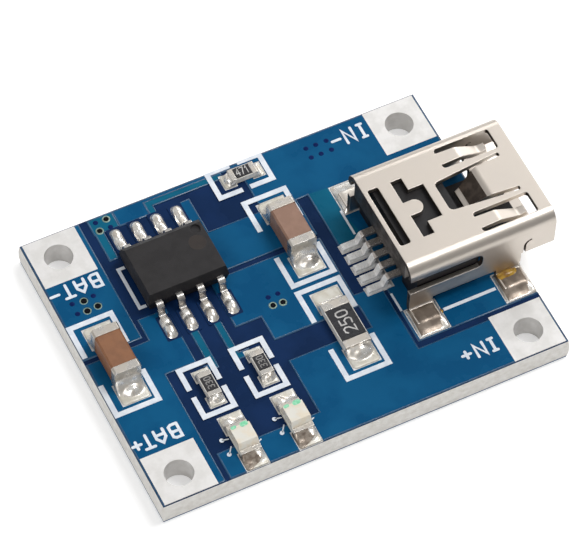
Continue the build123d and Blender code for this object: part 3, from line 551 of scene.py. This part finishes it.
def solder_piece(name, node, joints, climbing=solder_metal, lying=flat_solder):
    """Closed joints as one smooth piece that stands for the plain ones of the CAD model. What lies flat on the land
    has set dull, and what climbs the metal is bright."""
    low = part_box(node)[0].z / mm
    vertices, faces = [], []
    for points, rows, columns in joints:
        base, last = len(vertices), rows * columns
        vertices += [(x, y, low + z) for x, y, z in points]
        starts = [base + r * columns + c for r in range(rows - 1) for c in range(columns - 1)]
        faces += [(k, k + 1, k + columns + 1, k + columns) for k in starts]
        rim = list(range(columns)) + list(range(2 * columns - 1, last, columns))
        rim += list(range(last - 2, last - columns - 1, -1)) + list(range(last - 2 * columns, 0, -columns))
        faces.append(tuple(base + i for i in rim))
    piece = new_piece(name, vertices, faces, climbing, smooth=True)
    add_finish(piece, lying, lambda spot, normal: spot.z < low + lying_height)
    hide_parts(node)
    return piece


lead_foot = (2.58, 3.00, 0.20)
solder_piece("lead_joints", "charger_chip_solder", [
    solder_joint((x, chip_centre.y), (0, side), lead_land, lead_foot, 0.25, (0.45, 0.13),
                 beads=[(3.52, 0.0, 0.50, 0.34, 0.36)])
    for side in (1, -1) for x in lead_places
], lying=solder_metal)

land_middle = (lead_land["start"] + lead_land["end"]) / 2
land_reach = (lead_land["half"], (lead_land["end"] - lead_land["start"]) / 2)
mask_lift = 0.003
low, high = copper_top - mask_level_slack, board_top + mask_lift
land_corner = lead_land["corner"]
rim_section = [(0.09, 0.08, low), (0.09, 0.08, high), (-0.015, land_corner, high), (-0.015, land_corner, low)]
corner_signs = ((1, 1), (-1, 1), (-1, -1), (1, -1))
round_corners = [(math.pi / 2 * (quarter + step / 6), right, up)
                 for quarter, (right, up) in enumerate(corner_signs) for step in range(7)]
vertices, faces = [], []
for x in lead_places:
    for side in (1, -1):
        base, count = len(vertices), len(round_corners)
        for out, corner, z in rim_section:
            half, reach = (size + out - corner for size in land_reach)
            vertices += [(x + right * half + corner * math.cos(angle),
                          chip_centre.y + side * land_middle + up * reach + corner * math.sin(angle), z)
                         for angle, right, up in round_corners]
        rows = [base + row * count for row in range(len(rim_section))]
        for here, there in zip(rows, rows[1:] + rows[:1]):
            faces += [(here + k, here + (k + 1) % count, there + (k + 1) % count, there + k) for k in range(count)]
new_piece("mask_round_lead_lands", vertices, faces, over_laminate)


# Two layered ceramic capacitors, one paler than the other. Their ends are dipped in silver and tinned, and each
# end stands in a solder joint that fills its land and climbs the metal in a hollow slope.
chip_end_land = {"start": 1.30, "end": 2.75, "half": 0.835, "corner": 0.22}
end_metal = finish("dipped_ends", 0xDCD8D2, 0xC9C2B8, 0.24, 0.36, 0.5, 0.15, 0.002, metallic=0.9, rounding=0.05)
capacitors = {
    "input_capacitor": ((1.66, 3.53), finish("pale_ceramic", 0x93715F, 0x8A6957, 0.38, 0.5, 0.7, 0.06, 0.006)),
    "output_capacitor": ((-10.88, 0.03), finish("brown_ceramic", 0x8A5C3C, 0x7E5233, 0.38, 0.5, 0.7, 0.06, 0.006)),
}
for part, (centre, ceramic) in capacitors.items():
    dress(f"{part}_body", ceramic)
    dress(f"{part}_caps", end_metal)
    solder_piece(f"{part}_joints", f"{part}_solder", [
        solder_joint(centre, (0, side), chip_end_land, (1.35, 1.60, 0.78), 0.95, (0.62, 0.10),
                     beads=[(2.00, 0.08, 0.40, 0.52, 0.44)]) for side in (1, -1)
    ])


# Resistors. White alumina plates with folded metal ends and a black glaze over the film, with plain numbers printed
# on the glaze in pale ink. The big one senses the input current.
small_end_land = {"start": 0.54, "end": 1.26, "half": 0.475, "corner": 0.14}
big_end, small_end = (1.35, 1.60, 0.78), (0.60, 0.80, 0.38)
big_bead, small_bead = (1.80, 0.0, 0.52, 0.66, 0.62), (0.90, 0.05, 0.24, 0.26, 0.42)
alumina = finish("alumina", 0xE6E3DC, 0xDAD6CE, 0.55, 0.7, 0.4, 0.05, 0.006)
glaze = finish("black_glaze", 0x2A2A2E, 0x242428, 0.22, 0.32, 0.5, 0.06, 0.006)
resistors = {
    "sense_resistor": ((1.66, -3.32), (0, 1), chip_end_land, big_end, 0.44, (0.50, 0.10), big_bead),
    "left_lamp_resistor": ((-6.93, -3.63), (0, 1), small_end_land, small_end, 0.40, (0.32, 0.08), small_bead),
    "right_lamp_resistor": ((-3.71, -3.63), (0, 1), small_end_land, small_end, 0.40, (0.32, 0.08), small_bead),
    "program_resistor": ((1.00, 8.52), (1, 0), small_end_land, small_end, 0.40, (0.32, 0.08), small_bead),
}
for part, (centre, way, *sizes, bead) in resistors.items():
    dress(f"{part}_plate", alumina)
    dress(f"{part}_coat", glaze)
    dress(f"{part}_caps", end_metal)
    solder_piece(f"{part}_joints", f"{part}_solder", [
        solder_joint(centre, (way[0] * side, way[1] * side), *sizes, beads=[bead] if side < 0 else ())
        for side in (1, -1)
    ])

letter_strokes.update({
    "0": [[(0.5, 0), (0.12, 0.08), (0, 0.3), (0, 0.7), (0.12, 0.92), (0.5, 1)],
          [(0.5, 0), (0.88, 0.08), (1, 0.3), (1, 0.7), (0.88, 0.92), (0.5, 1)]],
    "1": [[(0.2, 0.78), (0.55, 1), (0.55, 0)]],
    "2": [[(0, 0.8), (0.2, 0.97), (0.75, 1), (1, 0.8), (0.92, 0.52), (0, 0), (1, 0)]],
    "3": [[(0, 0.95), (0.7, 1), (1, 0.8), (0.8, 0.55), (0.4, 0.52)],
          [(0.8, 0.55), (1, 0.25), (0.75, 0), (0, 0.05)]],
    "4": [[(0.75, 0), (0.75, 1), (0, 0.3)], [(0, 0.3), (1, 0.3)]],
    "5": [[(0.95, 1), (0.1, 1), (0.05, 0.56), (0.7, 0.6), (1, 0.4), (0.95, 0.12), (0.7, 0), (0, 0.04)]],
    "7": [[(0, 1), (1, 1), (0.35, 0)]],
})
resistor_ink = finish("resistor_ink", 0xC6C4C2, 0xB2B0AE, 0.5, 0.6, 0.3, 0.1, 0.003)
faded_ink = finish("faded_resistor_ink", 0x8B8987, 0x777574, 0.5, 0.6, 0.3, 0.1, 0.003)
resistor_numbers = {
    "sense_resistor": ("250", (0, 1), 0.70, 0.38, 0.56, 0.09, resistor_ink),
    "left_lamp_resistor": ("330", (0, 1), 0.38, 0.18, 0.28, 0.06, faded_ink),
    "right_lamp_resistor": ("330", (0, 1), 0.38, 0.18, 0.28, 0.06, faded_ink),
    "program_resistor": ("471", (1, 0), 0.48, 0.20, 0.28, 0.06, resistor_ink),
}
for part, (number, reading, height, width, pitch, stroke, ink) in resistor_numbers.items():
    centre, glaze_top = Vector(resistors[part][0]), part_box(f"{part}_coat")[1].z / mm
    right, up = Vector(reading), Vector((-reading[1], reading[0]))
    start = centre - right * (pitch + width / 2) - up * height / 2
    strokes = [line for i, sign in enumerate(number)
               for line in letter(sign, start + right * pitch * i, right * width, up * height)]
    ink_strokes(f"{part}_number", strokes, stroke, glaze_top, 0.01, ink)


# The two lamps, one for charging and one for full. A pale base with metal ends carries the die, and a block of milky
# resin is cast over it, with two green marks at its far end. Flux has dulled part of each near joint, and ink marks
# on the board show the way that the lamps point.
lamp_land = {"start": 0.68, "end": 1.88, "half": 0.68, "corner": 0.16}
lamp_end = (0.75, 1.00, 0.60)
lens_resin = finish("lamp_resin", 0xFFFCF2, 0xFFF3DE, 0.10, 0.20, 0.6, 0.2, 0.001)
lens_resin.node_tree.nodes["Principled BSDF"].inputs["Alpha"].default_value = 0.75
lamp_base = finish("lamp_base", 0xFAF6E8, 0xF2EDDA, 0.5, 0.65, 0.5, 0.06, 0.006)
lamp_die = finish("lamp_die", 0xE9E3D3, 0xDDD6C5, 0.3, 0.4, 0.2, 0.05, 0.003)
stained_solder = finish("stained_solder", 0xB0A497, 0x7C6F64, 0.26, 0.38, 0.35, 0.30, 0.0005, metallic=0.7,
                        spread=0.15)
lamp_green = finish("lamp_green_marks", 0x74CFA0, 0x9BDCB8, 0.4, 0.5, 0.15, 0.1, 0.003)
green_marks = [([(-0.45, 0.50), (-0.31, 0.52)], 0.20), ([(0.14, 0.50), (0.34, 0.52)], 0.30)]
board_marks = [
    ([(-1.10, 0.50), (-1.09, 0.48)], 0.25), ([(-1.05, 0.49), (-0.72, 0.42)], 0.07),
    ([(-1.12, -0.50), (-1.10, -0.48)], 0.25), ([(-1.06, -0.44), (-0.80, -0.08)], 0.07),
    ([(0.74, -0.42), (0.88, -0.36)], 0.08),
]


def is_stained(x, y):
    """Whether flux has dulled the solder at a place counted from its lamp's centre."""
    return y < 0 and x < 0.30 + 0.12 * math.sin(7 * y) and y > -1.70 + 0.5 * x


for side, centre in (("left", (-6.72, -7.55)), ("right", (-3.50, -7.55))):
    dress(f"{side}_lamp_lens", lens_resin)
    dress(f"{side}_lamp_base", lamp_base)
    dress(f"{side}_lamp_die", lamp_die)
    dress(f"{side}_lamp_caps", end_metal)
    joints = solder_piece(f"{side}_lamp_joints", f"{side}_lamp_solder", [
        solder_joint(centre, (0, end), lamp_land, lamp_end, 0.36, (0.60, 0.08),
                     beads=[(1.20, 0.28, 0.50, 0.26, 0.30)]) for end in (1, -1)
    ])
    add_finish(joints, stained_solder, lambda spot, normal: is_stained(spot.x - centre[0], spot.y - centre[1]))
    resin_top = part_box(f"{side}_lamp_lens")[1].z / mm
    for kind, marks, level, thickness, ink in (
        ("green_mark", green_marks, resin_top, 0.008, lamp_green),
        ("ink", board_marks, board_top, ink_thickness, white_ink),
    ):
        for k, (points, width) in enumerate(marks):
            line = [[(centre[0] + x, centre[1] + y) for x, y in points]]
            ink_strokes(f"{side}_lamp_{kind}_{k + 1}", line, width, level, thickness, ink)


# The mini USB socket. One folded sheet of nickel-plated steel round a black moulded core, painted dull and dark
# where it faces the rear as painted shade. Five bent contacts come out of the core there, their feet wetted with
# solder, which is painted near white as painted light. The legs are soldered by hand, and flux has burnt on at the
# near ones; their solder is painted a dark brown-grey as a painted dark reflection, with painted highlights in
# strips.
dress("usb_shell", finish("nickel_plate", 0xCFC7BE, 0xC6BDB3, 0.34, 0.42, 2.4, 0.30, 0.0005, metallic=1.0,
                          spread=0.8, rounding=0.06))
# Every face of the shell that faces the rear is painted dark steel: painted shade.
rear_face_painted_shade = finish("rear_face_painted_shade", 0x5A5049, 0x453D37, 0.35, 0.5, 0.5, 0.10, 0.002, metallic=0.8)
add_finish(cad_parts["usb_shell"], rear_face_painted_shade, lambda spot, normal: normal.x < -0.5)
dress("usb_core", finish("moulded_core", 0x171517, 0x1F1D1F, 0.4, 0.55, 0.8, 0.06, 0.006, gloss=0.3))
dress("usb_contacts", finish("tinned_contacts", 0xE6DFD8, 0xB3AAA2, 0.24, 0.36, 0.3, 0.15, 0.001, metallic=0.85,
                             rounding=0.04))
# The contacts' feet and joints are tinned solder, painted near white and almost matt: the extra brightness is
# painted light.
contact_solder = finish("contact_solder", 0xFDFDFC, 0xE4E2DF, 0.24, 0.36, 0.25, 0.15, 0.001, metallic=0.2)
contact_bend = 5.0
add_finish(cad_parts["usb_contacts"], contact_solder, lambda spot, normal: spot.x < contact_bend)
# The legs' solder is painted a dark brown-grey, a painted dark reflection of the shaded surroundings.
hand_solder_dark_reflection = finish("hand_solder_dark_reflection", 0x9C9084, 0x74695F, 0.28, 0.40, 0.8, 0.25, 0.001, metallic=0.8)
socket_y = -0.12
leg_places = (6.05, 11.55)
leg_land = {"start": 3.66, "end": 5.69, "half": 0.94, "corner": 0.10}
leg_foot = (3.90, 4.95, 0.72)


def is_painted_highlight_leg_solder(spot, normal):
    """Whether a leg's solder gets a painted highlight: along the strips at its land's sides and end, and at the far
    legs' left.
    """
    x = min((spot.x - place for place in leg_places), key=abs)
    out = abs(spot.y - socket_y)
    left_of_far_leg = spot.y > 0 and x < 0.35 + 0.25 * math.sin(4 * out)
    return x > 0.66 - 0.30 * max(0.0, out - 5.0) or x < -0.80 or out > 5.58 or left_of_far_leg


leg_joints = solder_piece("leg_joints", "usb_leg_solder", [
    solder_joint((x, socket_y), (0, side), leg_land, leg_foot, 0.37, (0.72, 0.24), hollow=1.7,
                 beads=[(5.10, -0.80 * side, 0.60, 0.15, 0.26)])
    for x in leg_places for side in (1, -1)
], hand_solder_dark_reflection, hand_solder_dark_reflection)
# Strips of the legs' solder take the bright solder as painted highlights.
add_finish(leg_joints, solder_metal, is_painted_highlight_leg_solder)

flux = finish("burnt_flux", 0xCFA23A, 0x9C6F22, 0.14, 0.26, 0.3, 0.3, 0.001, spread=0.15)
flux.node_tree.nodes["Principled BSDF"].inputs["Alpha"].default_value = 0.75
flux_bed = {"start": -0.30, "end": 0.30, "half": 0.62, "corner": 0.26}
flux_drop_bed = {"start": -0.16, "end": 0.16, "half": 0.16, "corner": 0.15}
for name, place, bed, bed_z, bead in (
    ("flux_stain", (11.40, -4.17), flux_bed, 1.92, (0.0, 0.0, 0.26, 0.54, 0.14)),
    ("flux_drop", (6.94, -4.66), flux_drop_bed, 1.595, (0.0, 0.0, 0.15, 0.15, 0.06)),
):
    stain, rows, wide = solder_joint(place, (0, -1), bed, (-1, -1, 0), 0, (0.1, 0.1), pool=0.02, beads=[bead])
    starts = [r * wide + c for r in range(rows - 1) for c in range(wide - 1)]
    faces = [(k, k + 1, k + wide + 1, k + wide) for k in starts]
    spot_of_flux = new_piece(name, [(x, y, bed_z + z) for x, y, z in stain], faces, flux, smooth=True)

contact_land = {"start": 0.42, "end": 1.98, "half": 0.24, "corner": 0.10}
contact_foot = (0.60, 1.90, 0.14)
contact_root = 5.75
# The contacts' joints take the same near-white solder, painted light.
solder_piece("contact_joints", "usb_contact_solder", [
    solder_joint((contact_root, socket_y + (i - 2) * 0.8), (-1, 0), contact_land, contact_foot, 0.20, (0.15, 0.09))
    for i in range(5)
], contact_solder, contact_solder)
